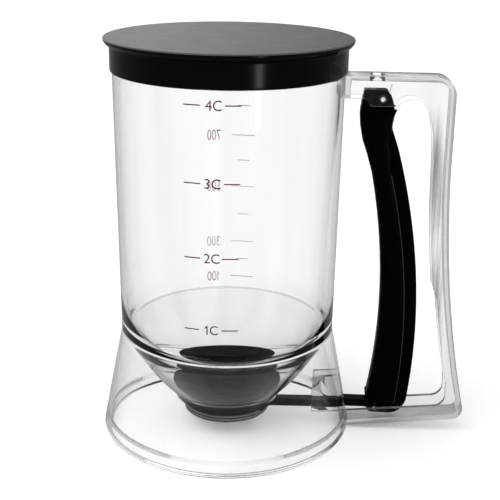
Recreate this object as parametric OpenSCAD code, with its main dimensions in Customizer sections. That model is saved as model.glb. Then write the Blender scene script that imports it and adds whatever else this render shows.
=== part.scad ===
// Squeeze-to-pour batter dispenser: a clear cup with a funnel bottom and a slide valve,
// worked by a trigger lever in the channel of a clear C-shaped handle.
// The origin is the centre of the base rim on the table, +X points to the handle, +Z is up.

/* [Cup] */
// Height from the table to the cup's rim
cup_rim_z = 185; // [160:0.5:210]
// Outer radius of the cup wall under the lid
cup_top_r = 51.9; // [50:0.1:54]
// How much the wall narrows from the land down to the shoulder
cup_taper = 1.4; // [0.5:0.1:2.4]
// Thickness of the cup wall
cup_wall = 2.4; // [1.8:0.1:3]
// Depth of the land that the lid's skirt grips
land_h = 12.8; // [8:0.1:18]
// How far the land is set back from the wall
land_step = 1.0; // [0.6:0.1:1.3]

/* [Funnel bottom] */
// Height of the shoulder where the funnel starts and the base is welded on
shoulder_z = 50; // [44:0.5:58]
// Width of the shoulder's ledge, which the base is welded to
shoulder_w = 3.1; // [2.6:0.1:4]
// Outer radius of the neck that holds the valve
neck_r = 24.7; // [23.5:0.1:27]
// Inner radius of the neck
neck_bore_r = 22.1; // [21:0.1:23]
// Height of the neck's lower edge
neck_low_z = 15.4; // [14.8:0.1:17]
// Height at which the funnel meets the neck
neck_top_z = 17.4; // [16.8:0.1:20]
// How far the funnel's side bulges from a straight cone
funnel_bulge = 2; // [0.5:0.1:5]
// Thickness of the funnel wall
funnel_wall = 2.4; // [1.8:0.1:2.6]

/* [Base skirt] */
// How far the base flares out from the cup's lower end to the foot
base_flare = 9.5; // [7:0.1:12]
// How far the flat rim on the table is set in from the widest point
rim_step = 0.6; // [0.2:0.1:1.2]
// Height of the bevel round the foot
base_bevel_h = 1.4; // [1:0.1:3]
// Thickness of the skirt wall
base_wall = 2.3; // [1.8:0.1:2.6]
// Thickness of the foot rim
foot_wall = 3.6; // [3:0.1:5]
// Height of the thick foot rim
foot_h = 4.6; // [3:0.1:6]
// Reach of the two guide tabs inwards from the base's widest point
guide_reach = 18.6; // [14:0.1:18.6]
// Thickness of each guide tab
guide_t = 1.8; // [1.4:0.1:2]
// Height of the guide tabs' lower edge
guide_low_z = 7.4; // [6:0.1:8.5]
// Height of the guide tabs' upper edge
guide_top_z = 27; // [20:0.5:34]

/* [Handle] */
// Width of the handle across its two side walls
handle_w = 14; // [13.6:0.1:18]
// Thickness of the handle's side walls
side_wall = 2.2; // [1.8:0.1:2.2]
// Thickness of the top plate, the back and the floor
spine_wall = 2.2; // [1.8:0.1:2.4]
// Drop of the handle's top face below the cup's rim
handle_drop = 13; // [13:0.1:20]
// Depth of the side walls along the top beam
beam_depth = 10; // [9.5:0.1:10.5]
// Reach of the handle's back from the cup wall, near the top
back_reach = 48.4; // [48:0.1:54]
// Radius of the long sweep in the handle's back
sweep_r = 560; // [480:5:640]
// Length of the back's straight part, down to where the sweep starts
straight_h = 32; // [28:1:36]
// Depth of the side walls along the upper part of the grip
grip_depth = 7.7; // [7.4:0.1:8.6]
// Depth of the side walls along the lower part of the grip
grip_low_depth = 6.2; // [5.5:0.1:6.6]
// Height at which the grip's side walls change depth
grip_step_z = 70; // [66:0.5:72]
// Radius of the handle's upper outer corner
corner_top_r = 8; // [5:0.5:10]
// Radius of the handle's lower outer corner
corner_low_r = 5.5; // [3:0.5:6]
// Height of the lower beam's underside where it meets the base
beam_low_z = 1; // [0.6:0.1:1.6]
// Rise of the lower beam's underside, in degrees
beam_rise = 6.8; // [6:0.1:7.5]
// Depth of the lower beam's side walls at the base
low_beam_depth = 7.8; // [7:0.1:8]
// Radius of the round hole in the top plate
plate_hole_r = 3.5; // [2:0.1:4]
// Distance from the cup wall to that hole
plate_hole_gap = 13.8; // [10:0.1:16]

/* [Lid] */
// Thickness of the lid's plate on top of the cup's rim
lid_plate_t = 2; // [1.6:0.1:4]
// How far the lid's flange stands out beyond the cup wall
lid_overhang = 3.6; // [2.4:0.1:6]
// Thickness of the flange
lid_flange_h = 3; // [2.4:0.1:4]
// How far the lid's skirt stands out beyond the cup wall
lid_skirt_step = 1; // [0.7:0.1:1.5]
// Depth of the ring that locates inside the cup
lid_ring_h = 5; // [3:0.1:8]
// Thickness of that ring
lid_ring_t = 1.6; // [1.2:0.1:2.5]

/* [Trigger] */
// Distance from the cup wall to the trigger's pivot
pivot_gap = 16.5; // [16:0.1:17]
// Drop of the pivot below the handle's top face
pivot_drop = 10; // [9.8:0.1:10.2]
// Radius of the pivot pin
pivot_r = 1.5; // [1.2:0.1:1.8]
// Width of the lever that runs in the channel
lever_w = 8.8; // [8:0.1:9]
// Width of the finger grip
grip_w = 16; // [14.5:0.1:20]
// Largest distance from the cup wall to the trigger's front edge
front_gap = 20.4; // [19.4:0.1:20.6]
// Radius of the front edge's long arc
front_r = 286; // [280:2:320]
// Depth of the trigger from its front edge to its rear edge
trigger_depth = 17.5; // [16.5:0.1:17.6]
// Radius of the rear edge's long arc
rear_r = 300; // [290:2:330]
// Distance that the lever's fin stands behind the finger grip
fin_step = 5.5; // [5.4:0.1:6.6]
// Drop of the trigger's shoulder below the pivot
shoulder_drop = 4.5; // [4.3:0.1:5.2]
// Height of the lowest point of the trigger's foot
boot_low_z = 7.8; // [7.6:0.1:8]
// Distance that the head stands in front of the pivot
head_front = 9.2; // [8.8:0.1:9.4]
// Thickness of the grip's shell in front of the blade
grip_skin = 2.6; // [2:0.1:3]
// Radius of the grip's two front edges
grip_edge_r = 5; // [3:0.5:5.5]
// Squeeze of the trigger from rest to its stop, in degrees
squeeze = 7.6; // [7:0.1:7.6]

/* [Return spring] */
// Radius of the spring's wire
wire_r = 0.4; // [0.3:0.05:0.45]
// Mean radius of the coil round the pivot pin
coil_r = 2.5; // [2.3:0.1:2.7]
// Number of turns
coil_turns = 5; // [3:1:6]
// Length of the leg that is seated in the lever
spring_leg = 8; // [5:0.5:9]

/* [Slide valve] */
// Radius of the outlet
outlet_r = 9.2; // [7:0.1:9.2]
// How far the shutter overlaps the outlet all round
shutter_lap = 1.6; // [1:0.1:1.8]
// Thickness of the shutter
shutter_t = 2.4; // [2:0.1:2.4]
// Height of the underside of the shutter and the arm
arm_low_z = 9.4; // [9.3:0.1:9.6]
// Width of the arm
arm_w = 5; // [4:0.1:5]
// Height of the arm's section
arm_h = 4; // [3.6:0.1:4]
// Distance that the link pin stands behind the pivot
link_back = 4.6; // [4.2:0.1:5]
// Height of the link pin
link_z = 11.8; // [11.7:0.1:11.9]
// Radius of the link pin
link_r = 1; // [0.8:0.1:1.1]
// Outer radius of the outlet cap
cap_r = 20.4; // [19.5:0.1:20.9]
// Height of the outlet cap's lower face
cap_low_z = 7.4; // [7:0.1:7.5]
// Height of the joint between the outlet cap and the valve body
cap_top_z = 12.1; // [12.1:0.1:12.3]
// Height of the valve body's rim in the funnel
valve_rim_z = 22.9; // [21:0.1:26]
// Radius of the O-ring's section
o_ring_r = 0.9; // [0.7:0.05:1]

/* [Fits] */
// Gap between pieces that move past each other
slide_gap = 0.3; // [0.25:0.01:0.35]
// Gap between pieces that seat in each other and stay there
seat_gap = 0.1; // [0.05:0.01:0.12]
// Radial gap round a pin
pin_gap = 0.03; // [0.02:0.01:0.05]

/* [Hidden] */
$fn = 96;
curve_n = 16;
far = 400;

clear_plastic = [0.86, 0.88, 0.89, 0.45];
black_plastic = [0.05, 0.05, 0.055];
black_rubber = [0.09, 0.09, 0.09];
steel = [0.72, 0.73, 0.74];

// ---- places of the pieces, all from the cup's wall, rim and shoulder ----------------

land_z = cup_rim_z - land_h;
cup_low_r = cup_top_r - cup_taper;
funnel_top_r = cup_low_r - shoulder_w;
base_r = cup_low_r + base_flare;
base_rim_r = base_r - rim_step;
guide_in_x = base_r - guide_reach;
lid_top_z = cup_rim_z + lid_plate_t;
lid_flange_r = cup_top_r + lid_overhang;
lid_skirt_r = cup_top_r + lid_skirt_step;
handle_top_z = cup_rim_z - handle_drop;
back_x = cup_top_r + back_reach;
sweep_z = handle_top_z - straight_h;
plate_hole_x = cup_top_r + plate_hole_gap;
pivot_x = cup_top_r + pivot_gap;
pivot_z = handle_top_z - pivot_drop;
front_x = cup_top_r + front_gap;
rear_x = front_x + trigger_depth;
shoulder_top_z = pivot_z - shoulder_drop;
link_x = pivot_x + link_back;

// ---- shared geometry -------------------------------------------------------------

function unit(v) = v / norm(v);

// Points of a fillet of radius r in the corner b between a and c
function fillet(a, b, c, r, n = 8) =
    r == undef || r <= 0 ? [b] :
    let (u = unit(a - b), v = unit(c - b), half = acos(u * v) / 2,
         p = b + u * r / tan(half), q = b + v * r / tan(half),
         m = b + unit(u + v) * r / sin(half))
    [for (i = [0:n]) m + r * unit((1 - i / n) * (p - m) + i / n * (q - m))];

// Outline of [x, y, corner radius] points with its corners rounded
function rounded(pts) =
    let (n = len(pts), q = [for (p = pts) [p[0], p[1]]])
    [for (i = [0:n - 1]) each fillet(q[(i + n - 1) % n], q[i], q[(i + 1) % n], pts[i][2])];

// Cubic Bezier curve without its first point
function bezier(a, b, c, d, n = curve_n) =
    [for (i = [1:n]) let (t = i / n, s = 1 - t)
        s * s * s * a + 3 * s * s * t * b + 3 * s * t * t * c + t * t * t * d];

// Side profile (x, z) given a width across y
module across(w) {
    rotate([90, 0, 0]) translate([0, 0, -w / 2]) linear_extrude(w) children();
}

// Round bar across y
module cross_bar(x, z, r, w) {
    translate([x, w / 2, z]) rotate([90, 0, 0]) cylinder(r = r, h = w);
}

// Cup wall: a straight taper from the shoulder to the land under the lid
function cup_r(z) = cup_low_r + (cup_top_r - cup_low_r) * (z - shoulder_z) / (land_z - shoulder_z);

// Funnel wall: concentric arcs through the shoulder and the neck
chord = [funnel_top_r - neck_r, shoulder_z - neck_top_z];
arc_r = (chord * chord / 4 + funnel_bulge * funnel_bulge) / (2 * funnel_bulge);
arc_mid = [(funnel_top_r + neck_r) / 2, (shoulder_z + neck_top_z) / 2];
arc_c = arc_mid - unit([chord[1], -chord[0]]) * (arc_r - funnel_bulge);
function funnel_r(z, inset = 0) =
    arc_c[0] + sqrt(pow(arc_r - inset, 2) - pow(z - arc_c[1], 2));
function funnel_line(z0, z1, inset) =
    [for (i = [0:curve_n]) let (z = z0 + (z1 - z0) * i / curve_n) [funnel_r(z, inset), z]];

// Skirt wall: a straight flare from the shoulder to the bevel round the foot
skirt_top_r = cup_low_r - seat_gap;
function skirt_r(z) =
    skirt_top_r + (base_r - skirt_top_r) * (shoulder_z - z) / (shoulder_z - base_bevel_h);

// Handle: outer line of the back, and the lines of the two beams
function back(z) = back_x + pow(max(0, sweep_z - z), 2) / (2 * sweep_r);
function beam_under(x) = beam_low_z + (x - base_r) * tan(beam_rise);
channel_w = handle_w - 2 * side_wall;
beam_lip_z = handle_top_z - beam_depth;
low_corner = [back(beam_under(back(0))), beam_under(back(beam_under(back(0))))];
arch_z = beam_lip_z - 34;
knee_z = 20;
ear_z = shoulder_top_z + 1.2;
ear_back_x = pivot_x + 6.4;

// Trigger: its front and rear lines are long arcs round two far centres
front_z = 0.4 * pivot_z;
rear_z = 0.315 * pivot_z;
function front(z) = front_x - pow(z - front_z, 2) / (2 * front_r);
function rear(z) = rear_x - pow(z - rear_z, 2) / (2 * rear_r);
throat_z = pivot_z - 13;
blade_x = pivot_x - head_front + grip_skin;
head_r = 4.6;
head_top = 3.9;
front_top_z = pivot_z - 34;
rear_top_z = pivot_z - 23;
heel_z = 24;
front_low_z = 17;
grip_low_z = 14.5;
foot_x = front(front_low_z) - 0.6;
spring_tip = [4, 6.2];

// Slide: travel of the shutter when the trigger is squeezed to its stop
travel = (pivot_z - link_z) * tan(squeeze);
shutter_r = outlet_r + shutter_lap;
arm_top_z = arm_low_z + arm_h;
arm_root_x = cap_r + 1.2;
arm_end_x = link_x + 3.6;
fork_end_x = arm_end_x + 1.4;
fork_top_z = arm_top_z + 1.4;
slot_gap = 0.15;

// Valve: lap joint between the body and its cap, groove of the O-ring, seat of the seal
lap_h = 1.4;
lap_w = 2;
o_ring_z = neck_low_z + 0.5 + o_ring_r;
seal_t = 1.4;
seal_seat_h = 0.9;
sleeve_r = neck_bore_r - 0.2;

// ---- clear pieces ----------------------------------------------------------------

// Measuring cup with its land for the lid, funnel bottom and neck
module cup() {
    land_r = cup_top_r - land_step;
    inner_top_r = cup_top_r - cup_wall;
    inner_low_r = cup_low_r - cup_wall;
    lip = 2.2;
    color(clear_plastic) rotate_extrude() polygon(concat(
        [[inner_top_r, cup_rim_z], [land_r, cup_rim_z], [land_r, land_z],
         [cup_top_r, land_z], [cup_low_r, shoulder_z]],
        funnel_line(shoulder_z, neck_top_z, 0),
        [[neck_r, neck_low_z], [neck_bore_r, neck_low_z]],
        [for (p = funnel_line(neck_top_z, shoulder_z + 1, funnel_wall)) if (p[0] > neck_bore_r) p],
        [[inner_low_r - 1, shoulder_z + lip], [inner_low_r, shoulder_z + 2 * lip]]));
}

// Flared base with its thick foot, the slot for the arm and two guide tabs
module base_skirt() {
    top_in_r = funnel_top_r + seat_gap;
    color(clear_plastic) difference() {
        union() {
            rotate_extrude() polygon([
                [top_in_r, shoulder_z], [skirt_top_r, shoulder_z],
                [base_r, base_bevel_h], [base_rim_r, 0], [base_rim_r - foot_wall, 0],
                [base_r - foot_wall, base_bevel_h], [skirt_r(foot_h) - foot_wall, foot_h],
                [skirt_r(foot_h + 3) - base_wall, foot_h + 3],
                [skirt_r(shoulder_z - 4) - base_wall, shoulder_z - 4]]);
            for (side = [-1, 1]) guide_tab(side);
        }
        translate([guide_in_x, -arm_w / 2 - slide_gap, arm_low_z - slide_gap])
            cube([far, arm_w + 2 * slide_gap, arm_h + 2 * slide_gap]);
    }
}

// Tab that hangs beside the arm and keeps it straight
module guide_tab(side) {
    inner_y = arm_w / 2 + slide_gap;
    translate([0, side * (inner_y + guide_t / 2), 0]) across(guide_t)
        polygon(rounded([[guide_in_x, guide_low_z, 2], [guide_in_x, guide_top_z, 2],
                         [skirt_r(guide_top_z) - 1, guide_top_z],
                         [skirt_r(guide_low_z) - 1, guide_low_z]]));
}

// Outline of the handle's side walls
function handle_outline() = rounded(concat(
    [[cup_r(beam_lip_z) - 2, beam_lip_z], [cup_r(handle_top_z) - 2, handle_top_z],
     [back_x, handle_top_z, corner_top_r]],
    [for (i = [0:curve_n]) let (z = sweep_z + (low_corner[1] + 8 - sweep_z) * i / curve_n) [back(z), z]],
    [[low_corner[0], low_corner[1], corner_low_r],
     [base_r - 4, beam_under(base_r - 4)],
     [base_r - 4, beam_low_z + low_beam_depth],
     [back(knee_z) - grip_low_depth - 0.8, beam_under(back(knee_z)) + 6.6, 6]],
    [for (i = [0:curve_n]) let (z = knee_z + 6 + (grip_step_z - knee_z - 8) * i / curve_n)
        [back(z) - grip_low_depth, z]],
    [for (i = [0:curve_n]) let (z = grip_step_z + 3 + (arch_z - grip_step_z - 3) * i / curve_n)
        [back(z) - grip_depth, z]],
    bezier([back(arch_z) - grip_depth, arch_z], [back_x - 7.6, beam_lip_z - 12],
           [back_x - 11.4, beam_lip_z], [back_x - 18.5, beam_lip_z]),
    bezier([back_x - 18.5, beam_lip_z], [back_x - 22.5, beam_lip_z],
           [ear_back_x + 1, ear_z + 1], [ear_back_x, ear_z], 8),
    [[pivot_x - 5.5, ear_z, 1.5], [pivot_x - 7, beam_lip_z, 1.5]]));

// Outline of the channel between the side walls, open towards the cup
function channel_outline() = rounded(concat(
    [[0, handle_top_z - spine_wall],
     [back_x - spine_wall, handle_top_z - spine_wall, corner_top_r - spine_wall]],
    [for (i = [0:curve_n]) let (z = sweep_z + (low_corner[1] + 8 - sweep_z) * i / curve_n)
        [back(z) - spine_wall, z]],
    [[low_corner[0] - spine_wall, low_corner[1] + spine_wall, corner_low_r - spine_wall],
     [0, beam_under(0) + spine_wall]]));

// C-shaped handle: a U-section channel that opens towards the cup
module handle_frame() {
    color(clear_plastic) difference() {
        across(handle_w) polygon(handle_outline());
        difference() {
            across(channel_w) polygon(channel_outline());
            root_plate();
        }
        cup_and_base_space();
        translate([plate_hole_x, 0, handle_top_z - spine_wall - 1])
            cylinder(r = plate_hole_r, h = spine_wall + 2);
        cross_bar(pivot_x, pivot_z, pivot_r + pin_gap, handle_w + 2);
    }
}

// Plate that closes the top beam where it is welded to the cup
module root_plate() {
    translate([0, -handle_w / 2, beam_lip_z])
        cube([cup_r(handle_top_z) + spine_wall, handle_w, beam_depth]);
}

// Space of the cup and the base, with the weld gap
module cup_and_base_space() {
    rotate_extrude() polygon([
        [0, handle_top_z + 1], [cup_r(handle_top_z + 1) + seat_gap, handle_top_z + 1],
        [cup_low_r + seat_gap, shoulder_z], [base_r + seat_gap, base_bevel_h],
        [base_r + seat_gap, -1], [0, -1]]);
}

// ---- lid -------------------------------------------------------------------------

// Press-on lid: flange, skirt over the land and a ring inside the cup
module lid() {
    skirt_in_r = cup_top_r - land_step + slide_gap;
    ring_r = cup_top_r - cup_wall - slide_gap;
    under_z = lid_top_z - lid_flange_h;
    edge = 1.1;
    color(black_plastic) rotate_extrude() polygon(rounded([
        [0, lid_top_z], [lid_flange_r, lid_top_z, edge], [lid_flange_r, under_z, edge],
        [lid_skirt_r, under_z], [lid_skirt_r, land_z + slide_gap], [skirt_in_r, land_z + slide_gap],
        [skirt_in_r, cup_rim_z], [ring_r, cup_rim_z], [ring_r, cup_rim_z - lid_ring_h],
        [ring_r - lid_ring_t, cup_rim_z - lid_ring_h], [ring_r - lid_ring_t, cup_rim_z],
        [0, cup_rim_z]]));
}

// ---- trigger ---------------------------------------------------------------------

// Head round the pivot, seated on the grip's shoulder
module head_outline() {
    polygon(rounded([[blade_x, shoulder_top_z - 1], [blade_x, shoulder_top_z + seat_gap],
                     [pivot_x - head_front, shoulder_top_z + seat_gap],
                     [pivot_x - head_front + 1, pivot_z + head_top, 1],
                     [pivot_x + 2.2, pivot_z + head_top, 2], [pivot_x + head_r, pivot_z - 0.5, 3],
                     [pivot_x + 5.8, shoulder_top_z - 1]]));
}

// Front line of the blade, a skin's thickness behind the front of the grip
function blade_front(skin) = concat(
    [[front(front_low_z) + skin, front_low_z + 0.5 + grip_skin - skin]],
    [for (i = [0:curve_n]) let (z = front_low_z + 5 + (front_top_z - front_low_z - 5) * i / curve_n)
        [front(z) + skin, z]]);

// Blade of the lever from the shoulder to the foot, set back inside the finger grip
module blade_outline() {
    polygon(rounded(concat(
        [[blade_x, shoulder_top_z], [pivot_x + 6.2, shoulder_top_z, 1.5],
         [pivot_x + 4.9, throat_z, 6]],
        [for (i = [0:curve_n]) let (z = rear_top_z + (heel_z - rear_top_z) * i / curve_n)
            [rear(z), z]],
        [[rear(boot_low_z + 2), boot_low_z, 9], [foot_x + 1, boot_low_z + 0.5, 3], [foot_x, front_low_z, 1]],
        blade_front(grip_skin),
        [[blade_x, throat_z - 1, 10]])));
}

// Lever: head on the pivot pin, long blade, and a forked foot over the arm
module trigger_lever() {
    slot_drop = (pivot_z - link_z) * (1 / cos(squeeze) - 1) + link_back * sin(squeeze) + slot_gap;
    color(black_plastic) difference() {
        across(lever_w) {
            head_outline();
            blade_outline();
        }
        cross_bar(pivot_x, pivot_z, pivot_r + pin_gap, lever_w + 2);
        spring_pocket();
        translate([0, -arm_w / 2 - slide_gap, -1])
            cube([fork_end_x, arm_w + 2 * slide_gap, fork_top_z + 1]);
        link_slot(slot_drop);
    }
}

// Upright slot in the fork: the pin keeps its height while the foot swings up
module link_slot(drop) {
    half_w = link_r + slot_gap;
    cross_bar(link_x, link_z, half_w, lever_w + 2);
    cross_bar(link_x, link_z - drop, half_w, lever_w + 2);
    translate([link_x - half_w, -lever_w / 2 - 1, link_z - drop])
        cube([2 * half_w, lever_w + 2, drop]);
}

// Finger grip: a wide rounded shell that fits over the front of the lever
module trigger_grip() {
    color(black_plastic) difference() {
        grip_body();
        across(lever_w + 2 * seat_gap) blade_space();
    }
}

// Outline that the lever's blade and foot take up, with the seating gap
module blade_space() {
    skin = grip_skin - seat_gap;
    seat_x = blade_x - seat_gap;
    polygon(concat(
        [[seat_x, far], [far, far], [far, -far], [foot_x - seat_gap, -far],
         [foot_x - seat_gap, front_low_z + seat_gap]],
        blade_front(skin),
        fillet([front(front_top_z) + skin, front_top_z], [seat_x, throat_z - 1], [seat_x, far], 10)));
}

// One level section of the grip: rounded front corners, flat rear
function grip_ring(x0, x1, half_w, z, r) =
    [for (p = concat(
        fillet([x0, 0], [x0, half_w], [x1, half_w], r, 5),
        fillet([x0, half_w], [x1, half_w], [x1, 0], 1.2, 2),
        fillet([x1, 0], [x1, -half_w], [x0, -half_w], 1.2, 2),
        fillet([x1, -half_w], [x0, -half_w], [x0, 0], r, 5))) [p[0], p[1], z]];

// Solid skinned over a stack of rings with equal point counts
module loft(rings) {
    n = len(rings[0]);
    m = len(rings);
    polyhedron(
        points = [for (ring = rings) each ring],
        faces = concat(
            [[for (i = [n - 1:-1:0]) i]],
            [for (k = [0:m - 2]) for (i = [0:n - 1])
                [k * n + i, k * n + (i + 1) % n, (k + 1) * n + (i + 1) % n, (k + 1) * n + i]],
            [[for (i = [0:n - 1]) (m - 1) * n + i]]),
        convexity = 6);
}

// Grip body: the long arcs up to the front's top, then a neck up to the shoulder
module grip_body() {
    neck = [[-5.8, 5.4, front_top_z + 9], [-8, 4.2, throat_z - 6], [-9.2, 4.5, throat_z],
            [-9.6, 5.2, throat_z + 5], [-9.4, 6.6, shoulder_top_z]];
    line = concat(
        [for (i = [0:12]) let (z = grip_low_z + (front_top_z - grip_low_z) * i / 12)
            [front(z), rear(z) - fin_step, z]],
        [for (p = neck) [pivot_x + p[0], pivot_x + p[1], p[2]]]);
    loft([for (p = line) grip_ring(p[0], p[1], grip_w / 2, p[2], grip_edge_r)]);
}

// Pocket in the head for the spring's coil, open upwards, with the slot of its leg
module spring_pocket() {
    pocket_w = lever_w - 3.2;
    pocket_r = coil_r + wire_r + 0.6;
    seat_x = pivot_x - coil_r - wire_r - 0.02;
    cross_bar(pivot_x, pivot_z, pocket_r, pocket_w);
    translate([seat_x, -pocket_w / 2, pivot_z]) cube([far, pocket_w, far]);
    translate([seat_x, -pocket_w / 2, pivot_z - spring_leg - 0.5])
        cube([3 * wire_r, pocket_w, spring_leg + 0.5]);
}

// Torsion spring: close coil round the pin, one leg in the lever and one under the top plate
module return_spring() {
    end_y = (coil_turns - 1) * wire_r;
    color(steel) {
        for (i = [0:coil_turns - 1])
            translate([pivot_x, i * 2 * wire_r - end_y, pivot_z]) rotate([90, 0, 0])
                rotate_extrude() translate([coil_r, 0]) circle(r = wire_r + 0.02, $fn = 16);
        translate([pivot_x - coil_r, end_y, pivot_z - spring_leg])
            cylinder(r = wire_r, h = spring_leg, $fn = 16);
        translate([pivot_x + coil_r, -end_y, pivot_z])
            rotate([0, atan2(spring_tip[0] - coil_r, spring_tip[1]), 0])
                cylinder(r = wire_r, h = norm([spring_tip[0] - coil_r, spring_tip[1]]), $fn = 16);
    }
}

// Steel pin through the handle's ears and the lever's head
module pivot_pin() {
    color(steel) cross_bar(pivot_x, pivot_z, pivot_r, handle_w);
}

// ---- slide valve -----------------------------------------------------------------

// Arm and shutter in one moulding: a round-nosed plate that closes the outlet
module slide_arm() {
    color(black_plastic) difference() {
        union() {
            translate([0, 0, arm_low_z]) linear_extrude(shutter_t) {
                circle(r = shutter_r);
                polygon(rounded([[0, shutter_r], [shutter_r - 2, shutter_r, 6], [arm_root_x, arm_w / 2, 2],
                                 [arm_root_x + 6, arm_w / 2], [arm_root_x + 6, -arm_w / 2],
                                 [arm_root_x, -arm_w / 2, 2], [shutter_r - 2, -shutter_r, 6],
                                 [0, -shutter_r]]));
            }
            across(arm_w) polygon(rounded([
                [arm_root_x, arm_low_z], [arm_root_x, arm_top_z, 1.5],
                [arm_end_x, arm_top_z, 1.5], [arm_end_x, arm_low_z, 1.5]]));
        }
        cross_bar(link_x, link_z, link_r + pin_gap, arm_w + 2);
    }
}

// Pin in the arm's end, caught in the slots of the lever's fork
module link_pin() {
    color(steel) cross_bar(link_x, link_z, link_r, lever_w - 0.4);
}

// Valve body: rim in the funnel, sleeve through the neck, throat of the outlet
module valve_body() {
    groove_r = neck_bore_r - 2 * o_ring_r;
    cone_z = neck_top_z + 1;
    rim_in_r = funnel_r(valve_rim_z, funnel_wall + seat_gap) - 0.8;
    color(black_plastic) rotate_extrude() polygon(concat(
        [[outlet_r, cap_top_z + seal_seat_h], [outlet_r + seal_t + slide_gap, cap_top_z + seal_seat_h],
         [outlet_r + seal_t + slide_gap, cap_top_z], [cap_r - lap_w, cap_top_z],
         [cap_r - lap_w, cap_top_z + lap_h], [sleeve_r, cap_top_z + lap_h],
         [sleeve_r, o_ring_z - o_ring_r], [groove_r, o_ring_z - o_ring_r],
         [groove_r, o_ring_z + o_ring_r], [sleeve_r, o_ring_z + o_ring_r]],
        [for (i = [0:6]) let (z = cone_z + (valve_rim_z - cone_z) * i / 6)
            [funnel_r(z, funnel_wall + seat_gap), z]],
        [[rim_in_r, valve_rim_z + 0.3], [outlet_r + 3, valve_rim_z - 3.6],
         [outlet_r, valve_rim_z - 5.6]]));
}

// Outlet cap under the body: the channel of the shutter and the outlet hole
module outlet_cap() {
    edge = 0.8;
    channel_half = shutter_r + slide_gap;
    color(black_plastic) difference() {
        rotate_extrude() polygon([
            [0, cap_low_z], [cap_r - edge, cap_low_z], [cap_r, cap_low_z + edge],
            [cap_r, cap_top_z + lap_h - seat_gap],
            [cap_r - lap_w + seat_gap, cap_top_z + lap_h - seat_gap],
            [cap_r - lap_w + seat_gap, cap_top_z - seat_gap], [0, cap_top_z - seat_gap]]);
        translate([0, 0, cap_low_z - 1]) cylinder(r = outlet_r, h = far);
        translate([0, 0, arm_low_z - seat_gap]) {
            cylinder(r = channel_half, h = far);
            translate([0, -channel_half, 0]) cube([far, 2 * channel_half, far]);
        }
    }
}

// Soft ring that wipes the top of the shutter
module valve_seal() {
    low_z = arm_low_z + shutter_t + 0.05;
    color(black_rubber) translate([0, 0, low_z]) difference() {
        cylinder(r = outlet_r + 0.1 + seal_t, h = cap_top_z + seal_seat_h - seat_gap - low_z);
        translate([0, 0, -1]) cylinder(r = outlet_r + 0.1, h = 5);
    }
}

// O-ring between the valve body and the neck
module neck_o_ring() {
    color(black_rubber) rotate_extrude()
        translate([neck_bore_r - o_ring_r, o_ring_z]) circle(r = o_ring_r, $fn = 24);
}

cup();
base_skirt();
handle_frame();
lid();
trigger_lever();
trigger_grip();
pivot_pin();
return_spring();
slide_arm();
link_pin();
valve_body();
outlet_cap();
valve_seal();
neck_o_ring();
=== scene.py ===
# %% [markdown]
# # A batter dispenser of clear plastic
# This lesson dresses a finished CAD model of a kitchen tool: a clear measuring cup with a funnel
# bottom, a slide valve, a trigger in a clear handle and a press-on lid. The CAD model is the frame.
# Its pieces stay where they are, and each one gets the soft edges, the finish and the print that
# the real one has. Everything is in metres, with +Z up and the handle on the +X side.

# %% Load the frame
import math
import bpy
from mathutils import Matrix, Vector


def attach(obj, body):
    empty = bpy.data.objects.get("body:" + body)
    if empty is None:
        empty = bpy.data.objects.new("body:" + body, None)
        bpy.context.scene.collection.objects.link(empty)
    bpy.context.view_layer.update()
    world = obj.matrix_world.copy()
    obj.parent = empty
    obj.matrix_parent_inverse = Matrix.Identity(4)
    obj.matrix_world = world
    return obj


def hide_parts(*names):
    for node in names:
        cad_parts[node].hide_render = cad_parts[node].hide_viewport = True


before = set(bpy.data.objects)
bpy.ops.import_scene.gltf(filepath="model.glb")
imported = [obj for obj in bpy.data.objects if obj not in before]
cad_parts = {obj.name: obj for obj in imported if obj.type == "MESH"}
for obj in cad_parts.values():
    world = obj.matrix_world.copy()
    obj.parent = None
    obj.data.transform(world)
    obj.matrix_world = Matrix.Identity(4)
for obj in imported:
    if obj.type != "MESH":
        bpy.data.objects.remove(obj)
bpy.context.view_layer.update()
bpy.context.scene.view_settings.view_transform = "Standard"
print("nodes:", sorted(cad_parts))

# %% [markdown]
# ## Helpers for working by hand in code
# Blender's operators act on whatever is selected. Working in code is like working by hand: first
# deselect everything, then pick one object, then use the tool. One small helper picks an object and
# another one rounds its sharp edges, as the bevel modifier does in the panel.

# %% Picking and rounding
MM = 0.001


def pick(obj):
    """Makes obj the only selected object and the active one."""
    if bpy.context.object and bpy.context.object.mode != "OBJECT":
        bpy.ops.object.mode_set(mode="OBJECT")
    bpy.ops.object.select_all(action="DESELECT")
    obj.select_set(True)
    bpy.context.view_layer.objects.active = obj


def round_edges(obj, width_mm, segments=2, sharp=30, harden=True):
    """Bevels the active object's edges of more than sharp degrees, by width_mm at most."""
    bevel = obj.modifiers.new("round edges", "BEVEL")
    bevel.width = width_mm * MM
    bevel.segments = segments
    bevel.limit_method = "ANGLE"
    bevel.angle_limit = math.radians(sharp)
    bevel.harden_normals = harden
    bpy.ops.object.modifier_apply(modifier=bevel.name)


# %% [markdown]
# ## What every piece is told
# A dressed piece needs four facts: its finish, the body that it rides on when a joint moves, the
# record's material slot, and the CAD nodes that it stands for. Some pieces have a second finish on
# some of their faces, such as a matt edge or a paler edge that is a painted highlight. One helper
# states the facts and one adds the finish.

# %% Finishing a piece
def finish(obj, body, slot, material, *nodes):
    """Gives a piece its finish, its body and the nodes that it stands for; slot is not used."""
    obj.data.materials.clear()
    obj.data.materials.append(material)
    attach(obj, body)
    if nodes:
        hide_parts(*nodes)


def second_finish(obj, material, chosen):
    """Adds a finish and gives it to the faces for which chosen(face) is true."""
    obj.data.materials.append(material)
    faces = [face for face in obj.data.polygons if chosen(face)]
    for face in faces:
        face.material_index = len(obj.data.materials) - 1
    print(obj.name, "has", len(faces), "faces of", material.name)


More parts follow.
